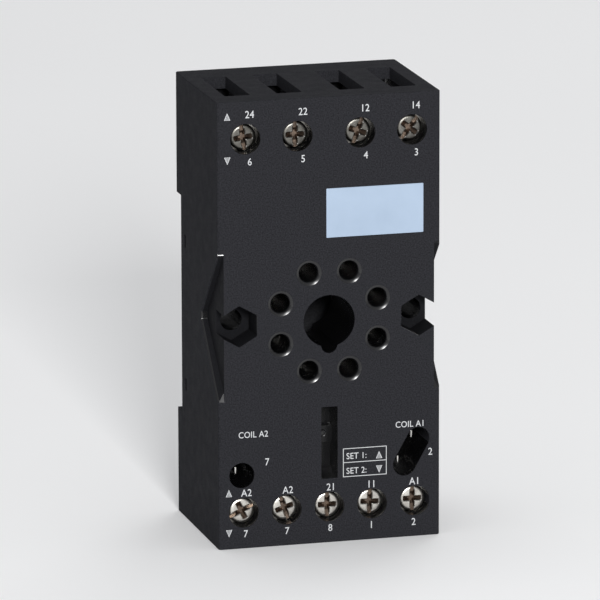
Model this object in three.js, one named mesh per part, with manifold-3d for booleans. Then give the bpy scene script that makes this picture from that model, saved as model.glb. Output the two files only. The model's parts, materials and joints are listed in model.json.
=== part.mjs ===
// Eight-pin octal relay socket for a 35 mm DIN rail, with nine screw terminals.
// Millimetres. +X right, +Z up, the front faces -Y. The origin is on the face that rests on the rail,
// level with the centre of the octal pin circle.

import * as THREE from 'three';
import { mergeVertices } from 'three/addons/utils/BufferGeometryUtils.js';
import Module from 'manifold-3d';

const wasm = await Module();
wasm.setup();

// Driving dimensions ---------------------------------------------------------------------------
const WIDTH = 37;
const HEIGHT = 73.5;
const DEPTH = 26.5;
const RAIL_DEPTH = 3.2; // how far the rail recess is sunk into the back
const RAIL_TOP = 16.9;
const RAIL_BOTTOM = -19.2;
const CORNER = 0.5; // bevel along the front's upright edges
const GAP = 0.3; // clearance between neighbouring pieces

const SIDE = WIDTH / 2;
const TOP = HEIGHT / 2;
const BACK = RAIL_DEPTH;
const FRONT = BACK - DEPTH;
const atDepth = (d) => FRONT + d; // Y at a depth behind the front face

const WALL = 1.9; // side walls of the rear bay
const END_WALL = 1.85; // top and bottom walls of the rear bay
const BAY_DEPTH = 17.3; // front of the bay that the rear cover closes
const STRIP_BAY_DEPTH = 15; // front of the shallower bay that the contact strips lie in
const STRIP_BAY_HALF = 27.2;

// Octal pin pattern and key bore
const PIN_CIRCLE = 8.725;
const PIN_COUNT = 8;
const PIN_HOLE = 1.45;
const PIN_LEAD = 2.075;
const PIN_LEAD_DEPTH = 1.6;
const CONTACT_BORE = 2.05;
const CONTACT_BORE_DEPTH = 8.5;
const KEY_BORE = 4.2;
const KEY_NOTCH = 1.3;
const KEY_NOTCH_DROP = 3.95;

// Panel screw recesses
const PANEL_X = 14.95;
const HEX_FLATS = 5.85;
const HEX_DEPTH = 5.2;
const PANEL_HOLE = 1.75;
const PANEL_BOSS = 3;

// Terminals
const TOP_ROW = 30.6;
const BOTTOM_ROW = -30.8;
const WELL = 2.45;
const CHAMBER_HALF = 2.9;
const CHAMBER_FRONT = 3.2;
const CHAMBER_INNER = 3.6; // from the screw towards the middle of the socket
const CHAMBER_OUTER = 3.4;
const HEAD = 2.18;
const HEAD_DEPTH = 1.5;
const HEAD_THICK = 1.5;
const SHANK = 1.5;
const SHANK_END = 13;
const DRIVE = { slotHalf: 0.3, slotDepth: 0.75, armHalf: 0.42, armReach: 1.45, armDepth: 0.95 };
const SCREW_HOLE = 1.85;
const PLATE_DEPTH = 3.3;
const PLATE_THICK = 1;
const PLATE_HALF = 2.4;
const PLATE_WIDE_HALF = 2.5;
const PAD_DEPTH = 8.5;
const STRIP_THICK = 0.8;
const NUT_DEPTH = 9.6;
const NUT_THICK = 2;
const NUT_HALF = 2.2;
const STRIP_DEPTH = 15.6;
const STRIP_HALF = 1.5;

// Wire-entry funnels
const FUNNEL_HALF = 2.05;
const FUNNEL_NECK_HALF = 1.85;
const FUNNEL_FRONT = 4.9;
const FUNNEL_BACK = 20.2;
const FUNNEL_NECK_BACK = 19.6;
const FUNNEL_DROP = 1.85;

// Sockets for the plug-in coil module
const MODULE_HOLES = [
  { name: 'A2', x: -14.8, z: -24.6, hole: 2.05 },
  { name: 'A1_upper', x: 14.7, z: -20.5, hole: 1.875 },
  { name: 'A1_lower', x: 12.4, z: -24.6, hole: 1.875 },
];
const MODULE_CONTACT_DEPTH = 3.4;
const MODULE_CONTACT_HALF = 0.65;
const MODULE_LEAF_THICK = 0.4;

// Upright slot: heights along Z, and the depths of its floor and of the ledges in it
const SLOT = {
  half: 1.35,
  top: -14.2,
  foot: -26.1,
  barTop: -18.2,
  barFoot: -20.9,
  step: -25.3,
  floor: 4.8,
  ledge: 3.6,
};

// Shallow pocket in each side: depth, where it narrows to its ramp's foot, and its upper and lower limits
const SIDE_POCKET = { sunk: 1, reach: 10.4, top: 12, tipTop: 0.4, tip: -0.8, foot: -12.7, rampTop: -11.1 };

// Hollows that keep the moulding's walls thin, as [x0, x1, z0, z1]
const CORE_FRONT = 2.6;
const CORE_POCKETS = [
  [-15.5, 15.5, 13.2, 25.4],
  [3.2, 9.2, -25.4, -13.6],
  [-11.6, -3.2, -25.4, -13.6],
];

// Label
const LABEL = { left: -0.45, right: 15.7, low: 13.7, high: 21.75, thick: 0.2 };

// Rear cover and rail latch
const COVER_HALF = SIDE - WALL - GAP;
const COVER_END = TOP - END_WALL - GAP;
const COVER_THICK = 2;
const COVER_INNER = -COVER_THICK - 0.2; // its front face behind the rail, 0.2 ahead of the rail's seat
const HOOK_HALF = 8;
const HOOK_REACH = 1.2;
const HOOK_GROOVE = 1.4; // room for the rail's 1 mm flange
const SNAP_HEIGHTS = [9.7, -14.2];
const SNAP_HALF = 0.7;
const SNAP_FRONT = COVER_INNER;
const SNAP_BACK = -2;
const SNAP_REACH = SIDE - 0.5;
const LATCH_HALF = 6.7;
const LATCH_FRONT = 0.5;
const LATCH_BACK = 2.9;
const LATCH_LOW = -34.2;
const LATCH_SHOULDER = RAIL_BOTTOM - GAP;
const LATCH_NOSE = -17.2;
const LATCH_NOSE_FRONT = HOOK_GROOVE;
const TONGUE_REACH = 0.9;
const TONGUE_FRONT = 1.2;
const TONGUE_BACK = 2;
const TONGUE_LOW = LATCH_LOW + 2;
const TONGUE_HIGH = LATCH_SHOULDER - 2;
const CHANNEL_FLOOR = 0.2;
const CHANNEL_WALL = 2.6;
const POST = { half: 1.4, back: 2.6, low: -30.6, high: -29.2 }; // the spring's fixed end rests on it
const SPRING_LOW = -28.9;
const SPRING_HIGH = -22.9;
const SPRING_RADIUS = 1.2;
const SPRING_WIRE = 0.22;
const SPRING_TURNS = 5;
const SPRING_CENTRE = 1.75;
const SPRING_FLATTEN = 0.75; // the coil is slightly oval

// Each terminal: its number, where its screw is, and how far its slot is turned clockwise from upright
const TERMINALS = [
  { name: '24', x: -13.8, z: TOP_ROW, turn: -8 },
  { name: '22', x: -5.2, z: TOP_ROW, turn: 0 },
  { name: '12', x: 5.2, z: TOP_ROW, turn: 20 },
  { name: '14', x: 13.8, z: TOP_ROW, turn: 38 },
  { name: 'A2_left', x: -14.3, z: BOTTOM_ROW, turn: 65 },
  { name: 'A2_right', x: -7.15, z: BOTTOM_ROW, turn: -18 },
  { name: '21', x: 0, z: BOTTOM_ROW, turn: 0 },
  { name: '11', x: 7.15, z: BOTTOM_ROW, turn: 2 },
  { name: 'A1', x: 14.3, z: BOTTOM_ROW, turn: 0 },
];

// Each pin: its number, its angle clockwise from the top, the terminals that it feeds, and the corners
// (x, z) that its strip turns on the way
const PINS = [
  { number: 1, angle: 157.5, feeds: ['11'], corners: [[6.6, -18]] },
  { number: 2, angle: 112.5, feeds: ['A1'], corners: [[10.2, -8], [14, -15], [14, -24.2]] },
  { number: 3, angle: 67.5, feeds: ['14'], corners: [[9.6, 8], [13.8, 14]] },
  { number: 4, angle: 22.5, feeds: ['12'], corners: [] },
  { number: 5, angle: -22.5, feeds: ['22'], corners: [] },
  { number: 6, angle: -67.5, feeds: ['24'], corners: [[-9.6, 8], [-13.8, 14]] },
  { number: 7, angle: -112.5, feeds: ['A2_left', 'A2_right'], corners: [[-10.2, -9], [-10.6, -19.5]] },
  { number: 8, angle: -157.5, feeds: ['21'], corners: [[-1.6, -18]] },
];

// Materials ------------------------------------------------------------------------------------
const material = (color, roughness, metalness) =>
  new THREE.MeshStandardMaterial({ color, roughness, metalness });
const blackPlastic = material(0x24252a, 0.62, 0);
const darkPlastic = material(0x1b1c1f, 0.55, 0);
const labelPlastic = material(0xb4c9dd, 0.5, 0);
const platedSteel = material(0xb9b6ad, 0.3, 1);
const springSteel = material(0x8f9194, 0.3, 1);
const brass = material(0xc29a55, 0.35, 1);
const tinnedBronze = material(0xc9c2b0, 0.3, 1);

// Solids ---------------------------------------------------------------------------------------
function solid(geometry) {
  geometry.deleteAttribute('normal');
  geometry.deleteAttribute('uv');
  const merged = mergeVertices(geometry, 1e-4);
  return new wasm.Manifold(
    new wasm.Mesh({
      numProp: 3,
      vertProperties: new Float32Array(merged.attributes.position.array),
      triVerts: new Uint32Array(merged.index.array),
    }),
  );
}

function box(x0, x1, y0, y1, z0, z1) {
  const geometry = new THREE.BoxGeometry(x1 - x0, y1 - y0, z1 - z0);
  return solid(geometry.translate((x0 + x1) / 2, (y0 + y1) / 2, (z0 + z1) / 2));
}

// A round bar along Y
function rod(x, z, radius, y0, y1, sides = 20) {
  const geometry = new THREE.CylinderGeometry(radius, radius, y1 - y0, sides);
  return solid(geometry.translate(x, (y0 + y1) / 2, z));
}

// A shape turned about a line along Y; profile points are [radius, y]
function turned(x, z, profile, sides = 20) {
  const points = profile.map(([r, y]) => new THREE.Vector2(r, y));
  return solid(new THREE.LatheGeometry(points, sides).translate(x, 0, z));
}

// An outline extruded along one axis; outline points are given on the other two axes
function prism(outline, axis, low, high) {
  const shape = new THREE.Shape(outline.map(([u, v]) => new THREE.Vector2(u, v)));
  const geometry = new THREE.ExtrudeGeometry(shape, { depth: high - low, bevelEnabled: false });
  const x = new THREE.Vector3(1, 0, 0);
  const y = new THREE.Vector3(0, 1, 0);
  const z = new THREE.Vector3(0, 0, 1);
  const frames = {
    x: [y, z, x, low],
    y: [x, z, y.clone().negate(), -high],
    z: [x, y, z, low],
  };
  const [u, v, along, start] = frames[axis];
  geometry.translate(0, 0, start);
  return solid(geometry.applyMatrix4(new THREE.Matrix4().makeBasis(u, v, along)));
}

// A four-sided block whose two ends are different four-point outlines, given as [x, y, z] corners
function taperedBlock(firstEnd, secondEnd) {
  const corners = [...firstEnd, ...secondEnd];
  const faces = [
    [0, 2, 1], [0, 3, 2], [4, 5, 6], [4, 6, 7],
    [0, 1, 5], [0, 5, 4], [1, 2, 6], [1, 6, 5],
    [2, 3, 7], [2, 7, 6], [3, 0, 4], [3, 4, 7],
  ];
  const centre = corners.reduce((sum, c) => sum.add(new THREE.Vector3(...c)), new THREE.Vector3());
  centre.divideScalar(corners.length);
  const [a, b, c] = faces[0].map((i) => new THREE.Vector3(...corners[i]));
  const outward = b.clone().sub(a).cross(c.clone().sub(a)).dot(a.clone().sub(centre)) > 0;
  const index = faces.flatMap(([i, j, k]) => (outward ? [i, j, k] : [i, k, j]));
  return new wasm.Manifold(
    new wasm.Mesh({
      numProp: 3,
      vertProperties: new Float32Array(corners.flat()),
      triVerts: new Uint32Array(index),
    }),
  );
}

const join = (solids) => solids.reduce((sum, next) => sum.add(next));
const cut = (body, tools) => tools.reduce((left, tool) => left.subtract(tool), body);

function meshOf(name, body, look) {
  const { vertProperties, triVerts } = body.getMesh();
  const geometry = new THREE.BufferGeometry();
  geometry.setAttribute('position', new THREE.BufferAttribute(new Float32Array(vertProperties), 3));
  geometry.setIndex(new THREE.BufferAttribute(new Uint32Array(triVerts), 1));
  geometry.computeVertexNormals();
  const mesh = new THREE.Mesh(geometry, look);
  mesh.name = name;
  return mesh;
}

const pinPlace = (angle) => {
  const radians = THREE.MathUtils.degToRad(angle);
  return [PIN_CIRCLE * Math.sin(radians), PIN_CIRCLE * Math.cos(radians)];
};
const outwardOf = (terminal) => Math.sign(terminal.z); // +1 in the top row, -1 in the bottom row

// Z range between two distances from a terminal's screw, the first towards the middle of the socket
function spanFrom(terminal, inner, outer) {
  const ends = [terminal.z - outwardOf(terminal) * inner, terminal.z + outwardOf(terminal) * outer];
  return [Math.min(...ends), Math.max(...ends)];
}

// Housing --------------------------------------------------------------------------------------
function pinHole(angle) {
  const [x, z] = pinPlace(angle);
  const leadIn = turned(x, z, [
    [0, FRONT - 1],
    [PIN_LEAD, FRONT - 1],
    [PIN_LEAD, FRONT],
    [PIN_HOLE, atDepth(PIN_LEAD_DEPTH)],
    [PIN_HOLE, atDepth(CONTACT_BORE_DEPTH + 0.1)],
    [0, atDepth(CONTACT_BORE_DEPTH + 0.1)],
  ], 16);
  const contactBore = rod(x, z, CONTACT_BORE, atDepth(CONTACT_BORE_DEPTH), atDepth(STRIP_BAY_DEPTH + 1), 16);
  return leadIn.add(contactBore);
}

function keyBore() {
  const back = atDepth(STRIP_BAY_DEPTH + 1);
  const notch = rod(0, -KEY_NOTCH_DROP, KEY_NOTCH, FRONT - 1, back, 12);
  return rod(0, 0, KEY_BORE, FRONT - 1, back, 32).add(notch);
}

function panelRecess(x) {
  const corner = HEX_FLATS / Math.sqrt(3);
  const outline = [];
  for (let i = 0; i < 6; i += 1) {
    const angle = (i * Math.PI) / 3;
    outline.push([x + corner * Math.sin(angle), corner * Math.cos(angle)]);
  }
  return prism(outline, 'y', FRONT - 1, atDepth(HEX_DEPTH)).add(rod(x, 0, PANEL_HOLE, FRONT, BACK, 16));
}

// The shallow V-shaped pocket in each side, with a ramp at its lower end
function sideRecess(side) {
  const { sunk, reach, top, tipTop, tip, foot, rampTop } = SIDE_POCKET;
  const face = side * (SIDE + 0.2);
  const floor = side * (SIDE - sunk);
  const outline = (x, low) => [
    [x, FRONT - 0.2, top],
    [x, FRONT - 0.2, low],
    [x, atDepth(reach), tip],
    [x, atDepth(reach), tipTop],
  ];
  return taperedBlock(outline(face, foot), outline(floor, rampTop));
}

function funnel(terminal) {
  const mouth = outwardOf(terminal) * (TOP + 0.01);
  const neck = outwardOf(terminal) * (TOP - FUNNEL_DROP);
  const ring = (z, half, back) => [
    [terminal.x - half, atDepth(FUNNEL_FRONT), z],
    [terminal.x + half, atDepth(FUNNEL_FRONT), z],
    [terminal.x + half, atDepth(back), z],
    [terminal.x - half, atDepth(back), z],
  ];
  const lead = taperedBlock(
    ring(mouth, FUNNEL_HALF, FUNNEL_BACK),
    ring(neck, FUNNEL_NECK_HALF, FUNNEL_NECK_BACK),
  );
  const [low, high] = spanFrom(terminal, 0, Math.abs(neck) - Math.abs(terminal.z) + 0.01);
  const neckWay = box(
    terminal.x - FUNNEL_NECK_HALF, terminal.x + FUNNEL_NECK_HALF,
    atDepth(FUNNEL_FRONT), atDepth(FUNNEL_NECK_BACK), low, high,
  );
  return lead.add(neckWay);
}

function terminalChamber(terminal) {
  const well = rod(terminal.x, terminal.z, WELL, FRONT - 1, atDepth(CHAMBER_FRONT + 0.1));
  const [low, high] = spanFrom(terminal, CHAMBER_INNER, CHAMBER_OUTER);
  const chamber = box(
    terminal.x - CHAMBER_HALF, terminal.x + CHAMBER_HALF,
    atDepth(CHAMBER_FRONT), atDepth(BAY_DEPTH + 0.1), low, high,
  );
  return join([well, chamber, funnel(terminal)]);
}

function moduleSockets() {
  const back = atDepth(STRIP_BAY_DEPTH + 1);
  const holes = MODULE_HOLES.map(({ x, z, hole }) => rod(x, z, hole, FRONT - 1, back));
  const [, upper, lower] = MODULE_HOLES;
  const run = new THREE.Vector2(upper.x - lower.x, upper.z - lower.z);
  const across = new THREE.Vector2(-run.y, run.x).normalize().multiplyScalar(upper.hole);
  const slot = prism([
    [lower.x - across.x, lower.z - across.y],
    [upper.x - across.x, upper.z - across.y],
    [upper.x + across.x, upper.z + across.y],
    [lower.x + across.x, lower.z + across.y],
  ], 'y', FRONT - 1, back);
  return [...holes, slot];
}

// The upright slot below the octal ring, with a cross bar part-way down and a step at its foot
function uprightSlot() {
  const { half, top, foot, floor, ledge } = SLOT;
  return [
    box(-half, half, FRONT - 1, atDepth(ledge), foot, top),
    box(-half, half, atDepth(ledge - 0.1), atDepth(floor), SLOT.barTop, top),
    box(-half, half, atDepth(ledge - 0.1), atDepth(floor), SLOT.step, SLOT.barFoot),
  ];
}

// The bay behind the front block, less the bosses and webs around the panel screws
function rearBay() {
  const bayHalf = SIDE - WALL;
  const bayEnd = TOP - END_WALL;
  const bay = box(-bayHalf, bayHalf, atDepth(BAY_DEPTH), BACK + 1, -bayEnd, bayEnd);
  const stripBay = box(-bayHalf, bayHalf, atDepth(STRIP_BAY_DEPTH), BACK, -STRIP_BAY_HALF, STRIP_BAY_HALF);
  const bossBack = COVER_INNER - GAP;
  const bosses = [-PANEL_X, PANEL_X].map((x) => rod(x, 0, PANEL_BOSS, FRONT, bossBack, 16));
  const webs = [[-SIDE, -PANEL_X], [PANEL_X, SIDE]].map(([x0, x1]) => box(
    x0, x1, FRONT, bossBack, -PANEL_BOSS, PANEL_BOSS,
  ));
  return cut(bay.add(stripBay), [...bosses, ...webs]);
}

function corePockets() {
  const back = atDepth(STRIP_BAY_DEPTH + 1);
  return CORE_POCKETS.map(([x0, x1, z0, z1]) => box(x0, x1, atDepth(CORE_FRONT), back, z0, z1));
}

// Windows through the side walls that the rear cover's tabs snap into
function snapWindows() {
  const inner = SIDE - WALL - 1;
  const outer = SIDE + 1;
  return SNAP_HEIGHTS.flatMap((z) => [[-outer, -inner], [inner, outer]].map(([x0, x1]) => box(
    x0, x1, SNAP_FRONT - 0.7, SNAP_BACK + GAP, z - SNAP_HALF - GAP, z + SNAP_HALF + GAP,
  )));
}

function housing() {
  const outline = [
    [-SIDE + CORNER, FRONT],
    [SIDE - CORNER, FRONT],
    [SIDE, FRONT + CORNER],
    [SIDE, BACK],
    [-SIDE, BACK],
    [-SIDE, FRONT + CORNER],
  ];
  const block = prism(outline, 'z', -TOP, TOP);
  const labelFloor = FRONT + LABEL.thick + GAP;
  return cut(block, [
    ...PINS.map(({ angle }) => pinHole(angle)),
    keyBore(),
    ...TERMINALS.map(terminalChamber),
    ...moduleSockets(),
    ...uprightSlot(),
    rearBay(),
    ...corePockets(),
    ...snapWindows(),
    panelRecess(-PANEL_X),
    panelRecess(PANEL_X),
    sideRecess(-1),
    sideRecess(1),
    box(-SIDE - 1, SIDE + 1, 0, BACK + 1, RAIL_BOTTOM, RAIL_TOP),
    box(LABEL.left - GAP, LABEL.right + GAP, FRONT - 1, labelFloor, LABEL.low - GAP, LABEL.high + GAP),
    box(-LATCH_HALF - GAP, LATCH_HALF + GAP, 0, BACK + 1, -TOP - 1, -TOP + END_WALL + 0.1),
  ]);
}

// Terminal parts -------------------------------------------------------------------------------
function terminalScrew({ x, z, turn }) {
  const headTop = atDepth(HEAD_DEPTH);
  const underHead = headTop + HEAD_THICK;
  const body = turned(0, 0, [
    [0, headTop],
    [HEAD - 0.35, headTop],
    [HEAD, headTop + 0.35],
    [HEAD, underHead],
    [SHANK, underHead],
    [SHANK, atDepth(SHANK_END - 0.6)],
    [SHANK - 0.6, atDepth(SHANK_END)],
    [0, atDepth(SHANK_END)],
  ]);
  const { slotHalf, slotDepth, armHalf, armReach, armDepth } = DRIVE;
  const recess = join([
    box(-slotHalf, slotHalf, headTop - 1, headTop + slotDepth, -HEAD - 1, HEAD + 1),
    box(-armReach, armReach, headTop - 1, headTop + armDepth, -armHalf, armHalf),
    box(-armHalf, armHalf, headTop - 1, headTop + armDepth, -armReach, armReach),
  ]);
  return body.subtract(recess).rotate([0, turn, 0]).translate([x, 0, z]);
}

function clampPlate({ x, z }) {
  const y = atDepth(PLATE_DEPTH);
  const plate = box(
    x - PLATE_WIDE_HALF, x + PLATE_WIDE_HALF, y, y + PLATE_THICK, z - PLATE_HALF, z + PLATE_HALF,
  );
  return plate.subtract(rod(x, z, SCREW_HOLE, y - 1, y + PLATE_THICK + 1, 16));
}

function threadNut({ x, z }) {
  const y = atDepth(NUT_DEPTH);
  const nut = box(x - NUT_HALF, x + NUT_HALF, y, y + NUT_THICK, z - NUT_HALF, z + NUT_HALF);
  return nut.subtract(rod(x, z, SCREW_HOLE - 0.05, y - 1, y + NUT_THICK + 1, 16));
}

// A flat band of one width through points [x, z]
function band(points, half, y0, y1) {
  const pieces = points.map(([x, z]) => rod(x, z, half, y0, y1, 8));
  for (let i = 1; i < points.length; i += 1) {
    const [a, b] = [points[i - 1], points[i]];
    const run = new THREE.Vector2(b[0] - a[0], b[1] - a[1]);
    const across = new THREE.Vector2(-run.y, run.x).normalize().multiplyScalar(half * 0.92);
    pieces.push(prism([
      [a[0] - across.x, a[1] - across.y],
      [b[0] - across.x, b[1] - across.y],
      [b[0] + across.x, b[1] + across.y],
      [a[0] + across.x, a[1] + across.y],
    ], 'y', y0, y1));
  }
  return join(pieces);
}

function contactStrip({ angle, feeds, corners }) {
  const runFront = atDepth(STRIP_DEPTH);
  const runBack = runFront + STRIP_THICK;
  const pieces = [];
  feeds.forEach((name) => {
    const terminal = TERMINALS.find((t) => t.name === name);
    const riserFoot = terminal.z - outwardOf(terminal) * (CHAMBER_INNER - GAP - STRIP_THICK / 2);
    const last = [terminal.x, terminal.z - outwardOf(terminal) * (CHAMBER_INNER + 1.2)];
    const way = [pinPlace(angle), ...corners, last, [terminal.x, riserFoot]];
    pieces.push(band(way, STRIP_HALF, runFront, runBack));
    const riser = spanFrom(terminal, CHAMBER_INNER - GAP, -(CHAMBER_INNER - GAP - STRIP_THICK));
    pieces.push(box(terminal.x - STRIP_HALF, terminal.x + STRIP_HALF, atDepth(PAD_DEPTH), runBack, ...riser));
    const pad = spanFrom(terminal, CHAMBER_INNER - GAP, CHAMBER_OUTER - 0.5);
    pieces.push(box(
      terminal.x - PLATE_WIDE_HALF, terminal.x + PLATE_WIDE_HALF,
      atDepth(PAD_DEPTH), atDepth(PAD_DEPTH) + STRIP_THICK, ...pad,
    ));
  });
  const screwHoles = feeds.map((name) => {
    const terminal = TERMINALS.find((t) => t.name === name);
    return rod(terminal.x, terminal.z, SCREW_HOLE, atDepth(PAD_DEPTH - 1), runBack + 1, 16);
  });
  return cut(join(pieces), screwHoles);
}

// A sprung sleeve behind each octal hole, split across its mouth and closed behind
function pinContact({ angle }) {
  const [x, z] = pinPlace(angle);
  const outer = 1.72;
  const inner = 1.2;
  const front = atDepth(CONTACT_BORE_DEPTH + GAP);
  const back = atDepth(STRIP_DEPTH - 0.35);
  const sleeve = turned(0, 0, [
    [0, back - 2.2],
    [inner, back - 2.6],
    [inner, front + 0.8],
    [inner + 0.25, front],
    [outer - 0.1, front],
    [outer, front + 0.6],
    [outer, back - 1.8],
    [outer - 0.35, back - 1.2],
    [outer - 0.35, back],
    [0, back],
  ], 12);
  const split = box(-0.22, 0.22, front - 1, front + 4.5, -outer - 1, outer + 1);
  return sleeve.subtract(split).rotate([0, angle, 0]).translate([x, 0, z]);
}

// A bowed spring leaf on edge behind each module hole; the module's pin pushes it aside
function moduleContact({ x, z }) {
  const length = STRIP_DEPTH - 0.35 - MODULE_CONTACT_DEPTH;
  const bow = [[0, 0], [0.35, 2.4], [0, 5.4], [0, length]];
  const half = MODULE_LEAF_THICK / 2;
  const right = bow.map(([across, along]) => [across + half, along]);
  const left = bow.map(([across, along]) => [across - half, along]).reverse();
  const front = atDepth(MODULE_CONTACT_DEPTH);
  const outline = [...right, ...left].map(([across, along]) => [x + across, front + along]);
  return prism(outline, 'z', z - MODULE_CONTACT_HALF, z + MODULE_CONTACT_HALF);
}

// Rear cover, latch and spring -----------------------------------------------------------------
function rearCover() {
  const plateInner = BACK - COVER_THICK;
  const profile = [
    [0, RAIL_TOP],
    [BACK, RAIL_TOP],
    [BACK, COVER_END],
    [plateInner, COVER_END],
    [plateInner, RAIL_TOP + COVER_THICK],
    [COVER_INNER, RAIL_TOP + COVER_THICK],
    [COVER_INNER, RAIL_BOTTOM - COVER_THICK],
    [plateInner, RAIL_BOTTOM - COVER_THICK],
    [plateInner, -COVER_END],
    [BACK, -COVER_END],
    [BACK, RAIL_BOTTOM],
    [0, RAIL_BOTTOM],
  ];
  const shell = prism(profile, 'x', -COVER_HALF, COVER_HALF);
  const hook = box(-HOOK_HALF, HOOK_HALF, HOOK_GROOVE, BACK, RAIL_TOP - HOOK_REACH, RAIL_TOP + 0.5);
  const wallHalf = LATCH_HALF + CHANNEL_WALL;
  const channelWalls = box(-wallHalf, wallHalf, COVER_INNER, BACK, -COVER_END, RAIL_BOTTOM);
  const channelHalf = LATCH_HALF + GAP;
  const channel = box(-channelHalf, channelHalf, CHANNEL_FLOOR, BACK + 1, -TOP - 1, RAIL_BOTTOM + 1);
  const grooveHalf = channelHalf + TONGUE_REACH;
  const groove = box(
    -grooveHalf, grooveHalf, TONGUE_FRONT - GAP, TONGUE_BACK + GAP, -TOP - 1, RAIL_BOTTOM + 1,
  );
  const post = box(-POST.half, POST.half, 0, POST.back, POST.low, POST.high);
  const snaps = SNAP_HEIGHTS.flatMap((z) => [
    box(-SNAP_REACH, -COVER_HALF + 1, SNAP_FRONT, SNAP_BACK, z - SNAP_HALF, z + SNAP_HALF),
    box(COVER_HALF - 1, SNAP_REACH, SNAP_FRONT, SNAP_BACK, z - SNAP_HALF, z + SNAP_HALF),
  ]);
  const panelHoles = [-PANEL_X, PANEL_X].map((x) => rod(x, 0, PANEL_HOLE + 0.15, COVER_INNER - 1, 1, 16));
  const body = cut(join([shell, hook, channelWalls]), [channel, groove, ...panelHoles]);
  return join([body, post, ...snaps]);
}

// The sliding latch: a nose that catches the rail, tongues that run in the cover's grooves, a window for
// the spring, and a slot for a screwdriver's blade
function railLatch() {
  const profile = [
    [LATCH_FRONT, LATCH_LOW],
    [LATCH_BACK, LATCH_LOW],
    [LATCH_BACK, LATCH_NOSE - 1.6],
    [LATCH_NOSE_FRONT + 0.5, LATCH_NOSE],
    [LATCH_NOSE_FRONT, LATCH_NOSE],
    [LATCH_NOSE_FRONT, LATCH_SHOULDER],
    [LATCH_FRONT, LATCH_SHOULDER],
  ];
  const plate = prism(profile, 'x', -LATCH_HALF, LATCH_HALF);
  const tongueHalf = LATCH_HALF + TONGUE_REACH;
  const tongues = box(-tongueHalf, tongueHalf, TONGUE_FRONT, TONGUE_BACK, TONGUE_LOW, TONGUE_HIGH);
  const windowHalf = POST.half + 0.5;
  const springWindow = box(-windowHalf, windowHalf, 0, BACK, POST.low - 0.4, SPRING_HIGH + GAP);
  const driverSlot = box(-2.6, 2.6, 0, BACK, LATCH_LOW + 0.9, LATCH_LOW + 2.1);
  return cut(plate.add(tongues), [springWindow, driverSlot]);
}

function latchSpring() {
  class Helix extends THREE.Curve {
    getPoint(t, target = new THREE.Vector3()) {
      const angle = t * SPRING_TURNS * 2 * Math.PI;
      const z = SPRING_LOW + SPRING_WIRE + t * (SPRING_HIGH - SPRING_LOW - 2 * SPRING_WIRE);
      const y = SPRING_CENTRE + SPRING_FLATTEN * SPRING_RADIUS * Math.sin(angle);
      return target.set(SPRING_RADIUS * Math.cos(angle), y, z);
    }
  }
  const section = new THREE.Shape();
  for (let i = 0; i < 5; i += 1) {
    const angle = (i * 2 * Math.PI) / 5;
    const corner = [SPRING_WIRE * Math.cos(angle), SPRING_WIRE * Math.sin(angle)];
    if (i === 0) section.moveTo(...corner);
    else section.lineTo(...corner);
  }
  const extrudePath = new Helix();
  const steps = 12 * SPRING_TURNS;
  return solid(new THREE.ExtrudeGeometry(section, { steps, extrudePath, bevelEnabled: false }));
}

// Assembly -------------------------------------------------------------------------------------
const socket = new THREE.Group();

const frontFace = new THREE.Group();
frontFace.add(meshOf('housing', housing(), blackPlastic));
frontFace.add(meshOf(
  'label',
  box(LABEL.left, LABEL.right, FRONT, FRONT + LABEL.thick, LABEL.low, LABEL.high),
  labelPlastic,
));
socket.add(frontFace);

const railMounting = new THREE.Group();
railMounting.add(meshOf('rear_cover', rearCover(), darkPlastic));
railMounting.add(meshOf('rail_latch', railLatch(), darkPlastic));
railMounting.add(meshOf('latch_spring', latchSpring(), springSteel));
socket.add(railMounting);

TERMINALS.forEach((terminal) => {
  const group = new THREE.Group();
  group.add(meshOf(`terminal_screw_${terminal.name}`, terminalScrew(terminal), platedSteel));
  group.add(meshOf(`clamp_plate_${terminal.name}`, clampPlate(terminal), platedSteel));
  group.add(meshOf(`thread_nut_${terminal.name}`, threadNut(terminal), brass));
  socket.add(group);
});

PINS.forEach((pin) => {
  socket.add(meshOf(`pin_contact_${pin.number}`, pinContact(pin), tinnedBronze));
  socket.add(meshOf(`contact_strip_${pin.number}`, contactStrip(pin), brass));
});

MODULE_HOLES.forEach((hole) => {
  socket.add(meshOf(`module_contact_${hole.name}`, moduleContact(hole), tinnedBronze));
});

export default socket;
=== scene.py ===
import json
import math

import bmesh
import bpy
from mathutils import Matrix, Vector


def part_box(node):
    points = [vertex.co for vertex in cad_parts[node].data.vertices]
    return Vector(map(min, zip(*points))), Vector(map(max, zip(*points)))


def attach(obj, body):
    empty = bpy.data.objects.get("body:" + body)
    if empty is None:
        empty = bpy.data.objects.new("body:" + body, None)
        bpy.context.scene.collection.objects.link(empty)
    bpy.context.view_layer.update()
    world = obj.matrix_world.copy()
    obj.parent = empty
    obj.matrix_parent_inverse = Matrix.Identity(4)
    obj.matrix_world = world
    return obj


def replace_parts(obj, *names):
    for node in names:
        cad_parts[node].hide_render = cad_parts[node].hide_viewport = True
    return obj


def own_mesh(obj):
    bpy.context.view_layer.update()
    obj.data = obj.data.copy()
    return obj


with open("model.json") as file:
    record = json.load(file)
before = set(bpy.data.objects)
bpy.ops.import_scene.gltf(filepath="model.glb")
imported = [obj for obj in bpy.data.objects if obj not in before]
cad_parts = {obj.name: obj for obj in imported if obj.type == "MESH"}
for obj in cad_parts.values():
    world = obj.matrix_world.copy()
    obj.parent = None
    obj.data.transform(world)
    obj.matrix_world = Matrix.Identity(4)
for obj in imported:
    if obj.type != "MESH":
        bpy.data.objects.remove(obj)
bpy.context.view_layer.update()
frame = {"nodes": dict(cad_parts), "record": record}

MM = 0.001


# Places read from the frame ---------------------------------------------------------------------
def box_mm(node):
    low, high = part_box(node)
    return low / MM, high / MM


def centre_mm(node):
    low, high = box_mm(node)
    return (low + high) / 2


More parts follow.
